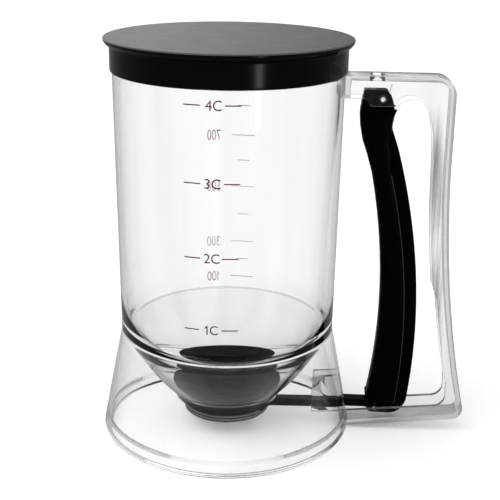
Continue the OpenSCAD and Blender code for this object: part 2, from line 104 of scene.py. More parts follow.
# %% [markdown]
# ## From CAD node to moulded piece
# A moulded piece never has razor edges: the tool's corners are slightly round, and that thin round
# catches the light. A CAD node is exact but its edges are sharp, and its mesh is loose triangles.
# One could model every piece again, but the CAD shape is already right. So a copy is merged, its
# flat faces are joined, its sharp edges get a small bevel, and it is shaded smooth. The bevel's
# width is only its upper limit: where a piece's shortest edges have less room, the modifier clamps
# the bevel of the whole piece.

# %% Copy, merge, bevel and smooth a node
MERGE_MM = 0.004
FLAT_DEGREES = 0.4


def moulded(node, body, slot, material, edge=0.25, sharp=32):
    """A copy of a CAD node that stands for it, with edges rounded by edge mm at most."""
    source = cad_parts[node]
    obj = source.copy()
    obj.data = source.data.copy()
    obj.name = node + "_moulded"
    obj.data.name = obj.name
    bpy.context.scene.collection.objects.link(obj)
    pick(obj)
    if obj.data.has_custom_normals:
        bpy.ops.mesh.customdata_custom_splitnormals_clear()
    bpy.ops.object.mode_set(mode="EDIT")
    bpy.ops.mesh.select_all(action="SELECT")
    bpy.ops.mesh.remove_doubles(threshold=MERGE_MM * MM)
    bpy.ops.mesh.dissolve_limited(
        angle_limit=math.radians(FLAT_DEGREES), use_dissolve_boundaries=False)
    bpy.ops.object.mode_set(mode="OBJECT")
    bpy.ops.object.shade_smooth_by_angle(angle=math.radians(sharp))
    if edge:
        round_edges(obj, edge, sharp=sharp)
    finish(obj, body, slot, material, node)
    print(obj.name, len(obj.data.polygons), "faces")
    return obj


# %% [markdown]
# ## Rounding a section
# The cup, the base, the lid and the valve are round, and light passes through most of them. A copy
# of the CAD mesh has long thin triangles, whose shading would ripple in clear plastic. So a round
# piece is made anew from its section, as on a lathe. First each sharp corner of the section is cut
# by a small round. One more point beside each round keeps the long faces flat. The corners at one
# height can be left sharp, for a weld such as the one under the cup's shoulder.

# %% Rounding the corners of a section
CORNER_DEGREES = 14
ROUND_SHARE = 0.42
SUPPORT_SHARE, SUPPORT_MM = 0.45, 0.5


def rounded_section(points, radius, keep):
    """Points of a closed section in mm, with a small round in each corner not at height keep."""
    out = []
    n = len(points)
    for i, p in enumerate(points):
        p = Vector(p)
        back, ahead = Vector(points[i - 1]) - p, Vector(points[(i + 1) % n]) - p
        turn = math.pi - back.angle(ahead)
        if turn < math.radians(CORNER_DEGREES) or p.x < 0.01 or p.y == keep:
            out.append(p)
            continue
        room = ROUND_SHARE * min(back.length, ahead.length)
        cut = min(radius * math.tan(turn / 2), room)
        a, b = p + back.normalized() * cut, p + ahead.normalized() * cut
        if back.length * SUPPORT_SHARE > cut + SUPPORT_MM:
            out.append(a + back.normalized() * SUPPORT_MM)
        out.append(a)
        out.append((a + b) / 4 + p / 2)
        out.append(b)
        if ahead.length * SUPPORT_SHARE > cut + SUPPORT_MM:
            out.append(b + ahead.normalized() * SUPPORT_MM)
    return out


# %% [markdown]
# ## Spinning a section
# The rounded section is laid out as a ring of points and spun round Z, with its normals made to
# face outwards. A section that touches the axis has an edge along it, which is deleted first, so
# that the spun piece is one closed skin with nothing inside.

# %% Spinning a section round Z
SPIN_STEPS = 144


def turned(name, section, radius, smooth=40, keep=None):
    """Spins a closed section of (radius, height) points in mm round Z."""
    points = rounded_section(section, radius, keep)
    bpy.ops.object.select_all(action="DESELECT")
    bpy.ops.mesh.primitive_circle_add(vertices=len(points), radius=0.05)
    obj = bpy.context.object
    obj.name = name
    obj.data.name = name
    for v, p in zip(obj.data.vertices, points):
        v.co = (p.x * MM, 0, p.y * MM)
    bpy.ops.object.mode_set(mode="EDIT")
    bpy.ops.mesh.select_mode(type="EDGE")
    bpy.ops.mesh.select_all(action="DESELECT")
    bpy.ops.object.mode_set(mode="OBJECT")
    for e in obj.data.edges:
        e.select = all(obj.data.vertices[i].co.x < 1e-6 for i in e.vertices)
    bpy.ops.object.mode_set(mode="EDIT")
    bpy.ops.mesh.delete(type="EDGE")
    bpy.ops.mesh.select_all(action="SELECT")
    bpy.ops.mesh.spin(steps=SPIN_STEPS, angle=2 * math.pi, center=(0, 0, 0), axis=(0, 0, 1))
    bpy.ops.mesh.select_all(action="SELECT")
    bpy.ops.mesh.remove_doubles(threshold=0.002 * MM)
    bpy.ops.mesh.normals_make_consistent(inside=False)
    bpy.ops.object.mode_set(mode="OBJECT")
    bpy.ops.object.shade_smooth_by_angle(angle=math.radians(smooth))
    print(name, len(obj.data.polygons), "faces")
    return obj


# %% [markdown]
# ## Cutting and joining
# Slots, channels and tabs aren't round. Each is a block or a cylinder that is joined to the spun
# piece or cut from it with a boolean. That leaves crisp edges where a milled or moulded slot has
# them, and the spun surface round it keeps its clean rings.

# %% Blocks and booleans
def combine(obj, tool, operation):
    """Cuts tool from obj or joins it to obj, and removes the tool."""
    pick(obj)
    step = obj.modifiers.new(operation.lower(), "BOOLEAN")
    step.operation = operation
    step.solver = "EXACT"
    step.object = tool
    bpy.ops.object.modifier_apply(modifier=step.name)
    bpy.data.objects.remove(tool)


def block(name, low, high):
    """A block between two corners in mm."""
    bpy.ops.object.select_all(action="DESELECT")
    bpy.ops.mesh.primitive_cube_add(size=1)
    obj = bpy.context.object
    obj.name = name
    bpy.ops.object.mode_set(mode="EDIT")
    bpy.ops.transform.resize(value=[(b - a) * MM for a, b in zip(low, high)])
    bpy.ops.transform.translate(value=[(b + a) / 2 * MM for a, b in zip(low, high)])
    bpy.ops.object.mode_set(mode="OBJECT")
    return obj


# %% [markdown]
# ## Building a material
# Every material here starts from one Principled shader. Colour, roughness and bump come from noise
# in Object coordinates, at a scale in millimetres, so the finish has its real grain size and stays
# on the piece when a joint moves. The helpers each add one node and return its output.

# %% Helpers for materials
def new_material(name):
    """An empty material with a Principled shader; returns it with its tree and shader."""
    mat = bpy.data.materials.new(name)
    mat.use_nodes = True
    tree = mat.node_tree
    tree.nodes.clear()
    out = tree.nodes.new("ShaderNodeOutputMaterial")
    shader = tree.nodes.new("ShaderNodeBsdfPrincipled")
    tree.links.new(shader.outputs["BSDF"], out.inputs["Surface"])
    return mat, tree, shader


def grey(level):
    """A neutral colour."""
    return (level, level, level, 1)


def noise(tree, size_mm, detail=3, stretch=(1, 1, 1)):
    """Noise with a grain of size_mm, in Object coordinates."""
    coord = tree.nodes.new("ShaderNodeTexCoord")
    place = tree.nodes.new("ShaderNodeMapping")
    place.inputs["Scale"].default_value = stretch
    grain = tree.nodes.new("ShaderNodeTexNoise")
    grain.inputs["Scale"].default_value = 1 / (size_mm * MM)
    grain.inputs["Detail"].default_value = detail
    tree.links.new(coord.outputs["Object"], place.inputs["Vector"])
    tree.links.new(place.outputs["Vector"], grain.inputs["Vector"])
    return grain.outputs["Fac"]


def ranged(tree, value, low, high, start=0.3, end=0.7):
    """Maps a value from start..end to low..high."""
    node = tree.nodes.new("ShaderNodeMapRange")
    node.inputs["From Min"].default_value = start
    node.inputs["From Max"].default_value = end
    node.inputs["To Min"].default_value = low
    node.inputs["To Max"].default_value = high
    tree.links.new(value, node.inputs["Value"])
    return node.outputs["Result"]


def ramp(tree, value, first, last, start=0.0, end=1.0):
    """A colour that goes from first to last as the value goes from start to end."""
    node = tree.nodes.new("ShaderNodeValToRGB")
    for stop, position, color in zip(node.color_ramp.elements, (start, end), (first, last)):
        stop.position = position
        stop.color = color
    tree.links.new(value, node.inputs["Fac"])
    return node.outputs["Color"]


def computed(tree, operation, *values, clamp=False):
    """A math node on outputs and plain numbers."""
    node = tree.nodes.new("ShaderNodeMath")
    node.operation = operation
    node.use_clamp = clamp
    for value, socket in zip(values, node.inputs):
        if isinstance(value, float):
            socket.default_value = value
        else:
            tree.links.new(value, socket)
    return node.outputs[0]


def bump(tree, shader, height, depth_mm, strength=1.0):
    """Fine relief of depth_mm on a shader."""
    node = tree.nodes.new("ShaderNodeBump")
    node.inputs["Distance"].default_value = depth_mm * MM
    node.inputs["Strength"].default_value = strength
    tree.links.new(height, node.inputs["Height"])
    tree.links.new(node.outputs["Normal"], shader.inputs["Normal"])


# %% [markdown]
# ## Painted shade in the handle's back
# The handle's back is its thickest part, and light that bends through it makes it grey with fine
# upright streaks. These are painted as darker upright lines in its tint: painted shade. Four soft
# masks keep them in the back: one on each side of it and one at each end. The back leans, so the
# side masks run across X plus a small share of Z.

# %% Upright lines of painted shade, masked to the back
SPINE_LEAN = 0.0645
SPINE_IN, SPINE_OUT = 98.9 * MM, 104.2 * MM


def spine_streaks(tree, color):
    """Darkens a colour by upright lines of painted shade, inside the handle's back only."""
    coord = tree.nodes.new("ShaderNodeTexCoord")
    place = tree.nodes.new("ShaderNodeSeparateXYZ")
    tree.links.new(coord.outputs["Object"], place.inputs[0])
    up = place.outputs["Z"]
    across = computed(tree, "MULTIPLY_ADD", up, SPINE_LEAN, place.outputs["X"])
    # Upright lines of painted shade.
    lines = ranged(tree, noise(tree, 1.6, 3, (1, 0.05, 0.03)), 0.5, 1.0, 0.36, 0.62)
    for value, low, high, start, end in (
            (across, 0.0, 1.0, SPINE_IN, SPINE_IN + 1.4 * MM),
            (across, 1.0, 0.0, SPINE_OUT, SPINE_OUT + 2 * MM),
            (up, 0.0, 1.0, 16 * MM, 34 * MM),
            (up, 1.0, 0.0, 138 * MM, 160 * MM)):
        blend = tree.nodes.new("ShaderNodeMix")
        blend.inputs["A"].default_value = 1.0
        tree.links.new(ranged(tree, value, low, high, start, end), blend.inputs["Factor"])
        tree.links.new(lines, blend.inputs["B"])
        lines = blend.outputs["Result"]
    shade = tree.nodes.new("ShaderNodeVectorMath")
    shade.operation = "SCALE"
    tree.links.new(color, shade.inputs[0])
    tree.links.new(lines, shade.inputs["Scale"])
    return shade.outputs["Vector"]


# %% [markdown]
# ## Clear plastic
# The cup, base and handle are polished clear plastic, which bends light much as glass does. The
# moulding leaves faint upright bands in it and makes it very slightly wavy, and use leaves a little
# haze. It swallows a little light on the way, so thick places and edges are darker. The absorption
# could be left out, but then a thick handle would look as empty as a thin cup. Light from the lamps
# passes straight through for shadows, as a caustic would, so the table stays bright.
#
# There are four kinds. The handle is thicker and wavier than the cup. Its narrow faces, which the
# hand rubs, are matt: part of the light scatters there instead of passing. Their tint is also
# darker, as painted shade for the grey that the handle's edges show. The tabs for the arm are so
# thin that they have hardly any tint.

# %% Clear plastic
LIGHT_THROUGH = (0.955, 0.96, 0.96, 1)
ABSORBED = (0.2, 0.235, 0.225, 1)


def clear_plastic(name, dark, pale, haze, ripple, density, painted_streaks=False, matt=0.0):
    """Clear plastic with bands from dark to pale and a ripple of (size, depth) in mm."""
    mat, tree, shader = new_material(name)
    shader.inputs["Transmission Weight"].default_value = 1.0 - matt
    shader.inputs["IOR"].default_value = 1.5
    shader.inputs["Specular Tint"].default_value = grey(0.25)
    out = tree.nodes["Material Output"]
    depth = tree.nodes.new("ShaderNodeVolumeAbsorption")
    depth.inputs["Color"].default_value = ABSORBED
    depth.inputs["Density"].default_value = density
    tree.links.new(depth.outputs["Volume"], out.inputs["Volume"])
    color = ramp(tree, noise(tree, 16, 1, (1, 1, 0.08)), dark, pale, 0.36, 0.62)
    # The handle's back gets upright lines of painted shade.
    if painted_streaks:
        color = spine_streaks(tree, color)
    tree.links.new(color, shader.inputs["Base Color"])
    wiped = noise(tree, 26, 4, (1, 1, 0.5))
    tree.links.new(ranged(tree, wiped, *haze), shader.inputs["Roughness"])
    bump(tree, shader, noise(tree, ripple[0], 0, (1, 1, 0.2)), ripple[1])
    paths = tree.nodes.new("ShaderNodeLightPath")
    through = tree.nodes.new("ShaderNodeBsdfTransparent")
    through.inputs["Color"].default_value = LIGHT_THROUGH
    mix = tree.nodes.new("ShaderNodeMixShader")
    tree.links.new(paths.outputs["Is Shadow Ray"], mix.inputs["Fac"])
    tree.links.new(shader.outputs["BSDF"], mix.inputs[1])
    tree.links.new(through.outputs["BSDF"], mix.inputs[2])
    tree.links.new(mix.outputs["Shader"], out.inputs["Surface"])
    return mat


cup_clear = clear_plastic(
    "clear cup plastic", grey(0.895), grey(0.935), haze=(0.0, 0.02), ripple=(30, 0.003), density=4)
tab_clear = clear_plastic(
    "clear tab plastic", grey(0.985), grey(1.0), haze=(0.0, 0.02), ripple=(30, 0.003), density=4)
# The handle's tint carries upright lines of painted shade in its back.
handle_clear = clear_plastic(
    "clear handle plastic", (0.955, 0.96, 0.96, 1), grey(1.0), haze=(0.01, 0.05),
    ripple=(5, 0.02), density=44, painted_streaks=True)
# The matt edge is rough, and its darker tint is painted shade.
matt_shaded_clear = clear_plastic(
    "matt clear edge with painted shade", (0.86, 0.87, 0.87, 1), grey(0.98), haze=(0.06, 0.25),
    ripple=(4, 0.03), density=44, matt=0.18)
print("clear plastics made: cup, tab, handle and matt edge")

# %% [markdown]
# ## Black plastics
# The lid is satin on top, where the mould was lightly blasted, and polished on its wall. The
# trigger and the valve are smooth, the arm is satin and the seals are soft and dull. A few edges
# and ridges are painted a little paler: painted highlights. One recipe serves them all: a colour
# that varies slightly over the piece, uneven roughness, and a fine grain of its own size and depth.

# %% Black plastics
BLACK = (0.0008, 0.0008, 0.001, 1)


def black_plastic(name, color, rough, grain_mm, depth_mm, specular):
    """Black plastic with roughness between two limits and a grain of a size and depth in mm."""
    mat, tree, shader = new_material(name)
    shader.inputs["Specular IOR Level"].default_value = specular
    paler = [c * 1.8 for c in color[:3]] + [1]
    shade = ramp(tree, noise(tree, 18, 5), color, paler)
    tree.links.new(shade, shader.inputs["Base Color"])
    tree.links.new(ranged(tree, noise(tree, 9, 6), *rough), shader.inputs["Roughness"])
    bump(tree, shader, noise(tree, grain_mm, 2), depth_mm, 0.6)
    return mat


lid_black = black_plastic("polished lid plastic", BLACK, (0.16, 0.2), 0.45, 0.0015, 0.07)
lid_top_satin = black_plastic("satin lid top", grey(0.003), (0.26, 0.29), 0.3, 0.0012, 0.5)
# A paler, glossier rim: a painted highlight along the lid's edge.
rim_painted_highlight = black_plastic("lid rim painted highlight", grey(0.05), (0.2, 0.3), 0.6, 0.002, 0.5)
grip_black = black_plastic("smooth grip plastic", BLACK, (0.18, 0.28), 0.6, 0.002, 0.012)
# A paler, rougher grip edge: a painted highlight along it.
grip_edge_highlight = black_plastic("grip edge painted highlight", grey(0.02), (0.3, 0.4), 0.6, 0.002, 0.3)
lever_black = black_plastic("smooth lever plastic", BLACK, (0.2, 0.3), 0.6, 0.002, 0.012)
arm_black = black_plastic("satin arm plastic", grey(0.002), (0.3, 0.42), 0.5, 0.004, 0.05)
valve_black = black_plastic("valve plastic", BLACK, (0.15, 0.25), 0.5, 0.002, 0.015)
cap_black = black_plastic("polished cap plastic", BLACK, (0.1, 0.16), 0.5, 0.002, 0.5)
# Paler ridge slopes: a painted highlight on the cap's ridges.
ridge_painted_highlight = black_plastic("cap ridge painted highlight", grey(0.14), (0.2, 0.3), 0.6, 0.002, 0.5)
soft_black = black_plastic("soft seal silicone", grey(0.01), (0.5, 0.65), 0.25, 0.01, 0.3)
print("black plastics made: lid, trigger, arm, valve and seals")

# %% [markdown]
# ## Steel
# The pins and the spring are drawn stainless steel, with fine lines along the wire. The pivot pin's
# ends are near white, rough and only partly metal: a painted highlight for the shine of their
# ends against the black lever. The link pin and the pivot pin's shaft are near black steel.

# %% Steel
def steel_finish(name, color, rough, metallic=1.0):
    """Steel with drawn lines and roughness between two limits."""
    mat, tree, shader = new_material(name)
    shader.inputs["Metallic"].default_value = metallic
    shader.inputs["Base Color"].default_value = color
    lines = noise(tree, 0.8, 4, (1, 0.1, 1))
    tree.links.new(ranged(tree, lines, *rough), shader.inputs["Roughness"])
    bump(tree, shader, noise(tree, 0.25, 2, (1, 0.1, 1)), 0.004)
    return mat


steel = steel_finish("drawn steel", (0.9, 0.91, 0.92, 1), (0.4, 0.6))
# Near white pin ends: a painted highlight.
pin_end_highlight = steel_finish("pin end painted highlight", grey(0.97), (0.68, 0.82), metallic=0.35)
dark_steel = steel_finish("near black steel", (0.02, 0.02, 0.022, 1), (0.35, 0.5))
print("steels made: drawn, painted highlight and near black")

# %% [markdown]
# ## The cup
# The cup is one clear moulding: a land for the lid, a long wall with a slight taper, a shoulder, a
# bowl that funnels down, and the neck. Its section goes down the outside and up the inside. The
# bowl is an arc with its centre far outside, so both its walls are found from that arc at two
# radii. Inside, the bowl runs into the wall in one soft bend, because batter clings to a corner,
# and light bends there in a hard line. The bend is a smooth curve that follows a few guide points.
# Only the shoulder outside stays a sharp corner, because the base is welded on there.

# %% Section of the cup
BOWL_X, BOWL_Z, BOWL_R = -44.07, 89.49, 99.63
BOWL_WALL = 2.4
RIM_Z, LAND_Z, SHOULDER_Z = 185, 172.2, 50
BEND_Z = 43
NECK_TOP_Z, NECK_Z, NECK_R = 17.4, 15.4, 22.1
WALL_TAPER = 0.01057
BOWL_STEPS, BEND_STEPS = 22, 18


def bowl_radius(z, inset=0.0):
    """Radius of the bowl's wall in mm at height z, inset from its outside."""
    return BOWL_X + math.sqrt((BOWL_R - inset) ** 2 - (z - BOWL_Z) ** 2)


def bowl_line(z0, z1, inset):
    """Points of the bowl's wall from height z0 to height z1."""
    heights = [z0 + (z1 - z0) * i / BOWL_STEPS for i in range(BOWL_STEPS + 1)]
    return [(bowl_radius(z, inset), z) for z in heights]


def inner_wall(z):
    """Inner radius of the cup's wall in mm at height z."""
    return 49.5 - WALL_TAPER * (RIM_Z - z)


def soft_bend(guides):
    """Points of a smooth curve that leaves the first guide point and ends at the last."""
    out = []
    for i in range(1, BEND_STEPS + 1):
        row = [Vector(g) for g in guides]
        while len(row) > 1:
            row = [a.lerp(b, i / BEND_STEPS) for a, b in zip(row, row[1:])]
        out.append(tuple(row[0]))
    return out


outside = [(50.9, RIM_Z), (50.9, LAND_Z), (51.9, LAND_Z), (50.5, SHOULDER_Z)]
outside += bowl_line(SHOULDER_Z, NECK_TOP_Z, 0)
neck = [(24.7, NECK_Z), (NECK_R, NECK_Z)]
inside = [p for p in bowl_line(NECK_TOP_Z, BEND_Z, BOWL_WALL) if p[0] > NECK_R]
inside += soft_bend(
    [(bowl_radius(BEND_Z, BOWL_WALL), BEND_Z)] + [(inner_wall(z), z) for z in (51.8, 57, 65, 74)])
inside += [(inner_wall(z), z) for z in (76, 120)]
cup_section = [(49.5, RIM_Z)] + outside + neck + inside
cup = turned("cup_wall", cup_section, radius=0.15, keep=SHOULDER_Z)
finish(cup, "vessel", "clear_plastic", cup_clear, "cup")

# %% [markdown]
# ## The base
# The base is a flared skirt welded under the cup's shoulder, with a thick rim on the table. It is
# spun like the cup, and its top lies a hair under the shoulder, so that the weld shows as one thin
# line. Two tabs hang inside the skirt and guide the arm: each is a block whose outer side is moved
# on to the skirt's wall, joined to the skirt. A slot for the arm is then cut through skirt and
# tabs at once, so that they line up. The tabs are thin, and get the clearer plastic.

# %% Base skirt with tabs and slot
SKIRT_TOP_R, BASE_R, BEVEL_Z, WELD_Z = 50.4, 60.0, 1.4, 49.985
SKIRT_WALL, FOOT_WALL = 2.3, 3.6
TAB_IN, TAB_OUT = 2.8, 4.6


def skirt_radius(z):
    """Outer radius of the skirt in mm at height z."""
    return SKIRT_TOP_R + (BASE_R - SKIRT_TOP_R) * (SHOULDER_Z - z) / (SHOULDER_Z - BEVEL_Z)


skirt_section = [
    (47.5, WELD_Z), (50.48, WELD_Z), (BASE_R, BEVEL_Z), (59.4, 0), (55.8, 0), (56.4, BEVEL_Z),
    (skirt_radius(4.6) - FOOT_WALL, 4.6), (skirt_radius(7.6) - SKIRT_WALL, 7.6),
    (skirt_radius(46) - SKIRT_WALL, 46),
]
skirt = turned("base_wall", skirt_section, radius=0.3)
for low_y, high_y in ((-TAB_OUT, -TAB_IN), (TAB_IN, TAB_OUT)):
    tab = block("tab", (41.4, low_y, 7.4), (54.0, high_y, 27.0))
    for v in tab.data.vertices:
        if v.co.x > 50 * MM:
            v.co.x = (skirt_radius(v.co.z / MM) - 1.2) * MM
    pick(tab)
    round_edges(tab, 0.35, harden=False)
    combine(skirt, tab, "UNION")
combine(skirt, block("slot", (41.0, -TAB_IN, 9.1), (70.0, TAB_IN, 13.7)), "DIFFERENCE")
pick(skirt)
bpy.ops.object.shade_smooth_by_angle(angle=math.radians(40))
finish(skirt, "vessel", "clear_plastic", cup_clear, "base_skirt")


def on_tab(face):
    """True for the faces of the two guide tabs."""
    c = face.center
    mid = (TAB_IN + TAB_OUT) / 2
    return abs(abs(c.y) - mid * MM) < 1.0 * MM and 41 * MM < c.x < 54 * MM and c.z > 7 * MM


second_finish(skirt, tab_clear, on_tab)

# %% [markdown]
# ## The lid
# The lid is a black press-on lid: a flange with a full round edge, a skirt over the cup's land,
# and a ring inside the rim that finds the cup's bore. It is spun from one section. Its top is
# satin from the mould and its wall is polished, and the round edge between them is painted paler
# as a painted highlight, so the faces get three finishes by the way that they face.

# %% Lid
TOP_Z, TOP_FACES_Z = 187, 186
lid_section = [
    (0, TOP_Z), (55.5, TOP_Z), (55.5, 185.7), (54.4, 184.2), (52.9, 183.4), (52.9, 172.5),
    (51.2, 172.5), (51.2, RIM_Z), (49.2, RIM_Z), (49.2, 180), (47.6, 180), (47.6, RIM_Z),
    (0, RIM_Z),
]
lid = turned("lid_shell", lid_section, radius=0.5, smooth=50)
finish(lid, "lid", "lid_plastic", lid_black, "lid")


def on_lid_top(face):
    """True for the lid's flat top."""
    return face.normal.z > 0.9 and face.center.z > TOP_FACES_Z * MM


def on_lid_edge(face):
    """True for the round edge beside the lid's top."""
    return 0.2 < face.normal.z <= 0.9 and face.center.z > TOP_FACES_Z * MM


second_finish(lid, lid_top_satin, on_lid_top)
# The round edge gets the painted highlight.
second_finish(lid, rim_painted_highlight, on_lid_edge)

# %% [markdown]
# ## The valve body
# The valve body is a black ring in the bowl's mouth, with a sleeve down through the neck and a
# groove for its O-ring. Its upper side follows the bowl's arc, a little inside the bowl's wall, so
# its points come from the same formula as the cup's.

# %% Valve body
RING_INSET = 2.5
ring_heights = [18.4 + 0.75 * i for i in range(7)]
valve_section = [
    (9.2, 13.0), (10.9, 13.0), (10.9, 12.1), (18.4, 12.1), (18.4, 13.5), (21.9, 13.5),
    (21.9, 15.9), (20.3, 15.9), (20.3, 17.7), (21.9, 17.7),
]
valve_section += [(bowl_radius(z, RING_INSET), z) for z in ring_heights]
valve_section += [(bowl_radius(22.9, RING_INSET) - 0.8, 23.2), (12.2, 19.3), (9.2, 17.3)]
body = turned("valve_ring", valve_section, radius=0.3)
finish(body, "vessel", "valve_plastic", valve_black, "valve_body")

# %% [markdown]
# ## The outlet cap
# The cap below the valve body holds the channel in which the shutter slides. It is spun with two
# fine ridges to grip it by. Then a block cuts the channel towards the arm and a cylinder cuts its
# round end. The slopes of the ridges are painted paler than the rest, as painted highlights.

# %% Outlet cap with its channel
CAP_R, GROOVE_R, CHANNEL_R = 20.4, 20.0, 11.1
cap_section = [
    (9.2, 7.4), (19.6, 7.4), (CAP_R, 8.2), (CAP_R, 8.9), (GROOVE_R, 9.1), (GROOVE_R, 9.5),
    (CAP_R, 9.7), (CAP_R, 10.4), (GROOVE_R, 10.6), (GROOVE_R, 11.0), (CAP_R, 11.2),
    (CAP_R, 13.4), (18.5, 13.4), (18.5, 12.0), (9.2, 12.0),
]
cap = turned("valve_cap", cap_section, radius=0.12)
combine(cap, block("channel", (0, -CHANNEL_R, 9.3), (30, CHANNEL_R, 20)), "DIFFERENCE")
bpy.ops.object.select_all(action="DESELECT")
bpy.ops.mesh.primitive_cylinder_add(
    vertices=96, radius=CHANNEL_R * MM, depth=6 * MM, location=(0, 0, 12.3 * MM))
combine(cap, bpy.context.object, "DIFFERENCE")
pick(cap)
bpy.ops.object.shade_smooth_by_angle(angle=math.radians(35))
finish(cap, "vessel", "valve_plastic", cap_black, "outlet_cap")


def on_ridge(face):
    """True for the slopes of the cap's ridges and its lower edge."""
    outer = face.center.xy.length > 19.95 * MM and face.center.z < 12 * MM
    return outer and 0.25 < abs(face.normal.z) < 0.97


# The ridge slopes get the painted highlight.
second_finish(cap, ridge_painted_highlight, on_ridge)

# %% [markdown]
# ## The handle
# The handle is a clear C-shaped channel, open towards the cup. Its edges are crisp, as from a
# polished mould. The bevel tool gives them a tiny round: it is asked for more than there is room
# for, and with overlap clamped it stops where the shortest edges meet, at 0.06 mm. Four segments
# leave steps too small for the bevel modifier that follows, so it only rounds a few sharp spots and
# sets the shading straight. Then the faces that don't lie on the two flat sides turn matt and get
# a darker tint of painted shade, apart from the low edges over the trigger's foot, which stay
# plain.

# %% Handle with crisp edges and matt faces
handle = moulded("handle_frame", "vessel", "clear_plastic", handle_clear, edge=0)
pick(handle)
bpy.ops.object.mode_set(mode="EDIT")
bpy.ops.mesh.select_mode(type="EDGE")
bpy.ops.mesh.select_all(action="SELECT")
bpy.ops.mesh.bevel(offset=1.9 * MM, segments=4, affect="EDGES", clamp_overlap=True)
bpy.ops.object.mode_set(mode="OBJECT")
round_edges(handle, 0.55, segments=3, sharp=35)


def is_rubbed(face):
    """True for the faces off the flat sides, but not for those up from the low beam."""
    low_edge = face.normal.z > 0.5 and face.center.z < 30 * MM
    return abs(face.normal.y) < 0.85 and not low_edge


# The faces off the flat sides get the matt finish with painted shade.
second_finish(handle, matt_shaded_clear, is_rubbed)

# %% [markdown]
# ## The trigger and the arm
# The lever, its finger grip and the arm are black mouldings whose CAD shapes are right, so each is
# a merged copy with rounded edges. Their CAD meshes have short edges, so the clamp leaves 0.25 mm
# on the grip, 0.07 mm on the lever and next to nothing on the arm, which look crisp. The thin faces
# of the bevel along the grip's two long edges towards the handle's back get a rougher, glossier
# finish, painted paler as a painted highlight along those edges. They are found by their small
# area, their place and the way that they face.

# %% Lever, grip and arm
HIGHLIGHT_TOP_Z = 128 * MM


def on_long_edge(face):
    """True for the bevel along the grip's two long edges towards the handle's back."""
    n, c = face.normal, face.center
    small = face.area < 6 * MM * MM and 0.25 < n.x < 0.97 and abs(n.y) > 0.2
    return small and abs(c.y) > 4 * MM and c.z < HIGHLIGHT_TOP_Z


moulded("trigger_lever", "trigger", "trigger_plastic", lever_black, edge=0.5)
grip = moulded("trigger_grip", "trigger", "trigger_plastic", grip_black, edge=0.5, sharp=28)
# The grip's long edges get the painted highlight.
second_finish(grip, grip_edge_highlight, on_long_edge)
moulded("slide_arm", "slide", "arm_plastic", arm_black, edge=0.35)

# %% [markdown]
# ## Pins, spring and seals
# The small steel and soft pieces are merged copies too. The spring and the O-ring have round wires
# with no edge to bevel. On the pivot pin, only the two ends that face sideways keep the pale
# painted highlight; the rest gets the near black steel.

# %% Steel and soft pieces
pin = moulded("pivot_pin", "vessel", "steel", pin_end_highlight, edge=0.5)
second_finish(pin, dark_steel, lambda face: abs(face.normal.y) < 0.95)
moulded("link_pin", "slide", "steel", dark_steel, edge=0.2)
moulded("return_spring", "trigger", "steel", steel, edge=0)
moulded("valve_seal", "vessel", "silicone", soft_black, edge=0.2)
moulded("neck_o_ring", "vessel", "silicone", soft_black, edge=0)

# %% [markdown]
# ## Ink
# The scales are screen printed: a very thin film of purple ink on the outside of the wall. Ink is
# matte and slightly uneven, a little thinner where the screen's mesh was. The cup scale in front
# is dark. The millilitre scale behind is pale, and faded in its middle, where the cup is wiped
# most.

# %% Ink materials
def ink(name, color, pale):
    """Matte ink that varies from color to pale with the screen's mesh."""
    mat, tree, shader = new_material(name)
    shade = ramp(tree, noise(tree, 0.5, 3), color, pale)
    tree.links.new(shade, shader.inputs["Base Color"])
    shader.inputs["Roughness"].default_value = 0.6
    shader.inputs["Specular IOR Level"].default_value = 0.15
    bump(tree, shader, noise(tree, 0.2, 2), 0.01)
    return mat


cup_ink = ink("dark scale ink", (0.045, 0.002, 0.028, 1), (0.11, 0.012, 0.07, 1))
ml_ink = ink("pale scale ink", (0.52, 0.34, 0.46, 1), (0.66, 0.5, 0.62, 1))
faded_ink = ink("faded scale ink", (0.74, 0.62, 0.7, 1), (0.86, 0.78, 0.84, 1))
print("inks made: dark, pale and faded")

# %% [markdown]
# ## Printing on a round wall
# Print follows the wall. Each mark is first made flat, with its reading direction along X, and is
# cut into short pieces so that it can bend. A modifier gives it the thickness of a film. Then its
# X becomes a distance round the wall, its Y a height, and its Z a tiny distance in front of the
# wall. A shrinkwrap would do it too, but it would squeeze the digits near the wall's sides.

# %% A film of ink, wrapped round the wall
INK_LIFT, INK_FILM = 0.03 * MM, 0.04 * MM
WALL_LOW_R, WALL_TOP_R = 50.5 * MM, 51.9 * MM
WALL_LOW_Z, WALL_TOP_Z = SHOULDER_Z * MM, LAND_Z * MM


def wall_radius(z):
    """Outer radius of the cup's tapered wall at height z."""
    return WALL_LOW_R + (WALL_TOP_R - WALL_LOW_R) * (z - WALL_LOW_Z) / (WALL_TOP_Z - WALL_LOW_Z)


def wrap(obj, degrees, z):
    """Lays a flat mark on the wall, centred at an angle from +X and a height."""
    for v in obj.data.vertices:
        x, y, w = v.co
        r = wall_radius(z + y)
        a = math.radians(degrees) + x / r
        r += INK_LIFT + w
        v.co = (r * math.cos(a), r * math.sin(a), z + y)
    obj.data.update()


def thicken(obj):
    """Gives a flat mark the thickness of a film of ink."""
    pick(obj)
    film = obj.modifiers.new("film", "SOLIDIFY")
    film.thickness = INK_FILM
    film.offset = 1
    bpy.ops.object.modifier_apply(modifier=film.name)


def print_row(name, parts, degrees, z, material):
    """Joins flat marks into one printed row on the wall."""
    bpy.ops.object.select_all(action="DESELECT")
    for p in parts:
        p.select_set(True)
    bpy.context.view_layer.objects.active = parts[0]
    if len(parts) > 1:
        bpy.ops.object.join()
    obj = bpy.context.object
    obj.name = name
    obj.data.name = name
    thicken(obj)
    wrap(obj, degrees, z)
    finish(obj, "vessel", "lid_plastic", material)


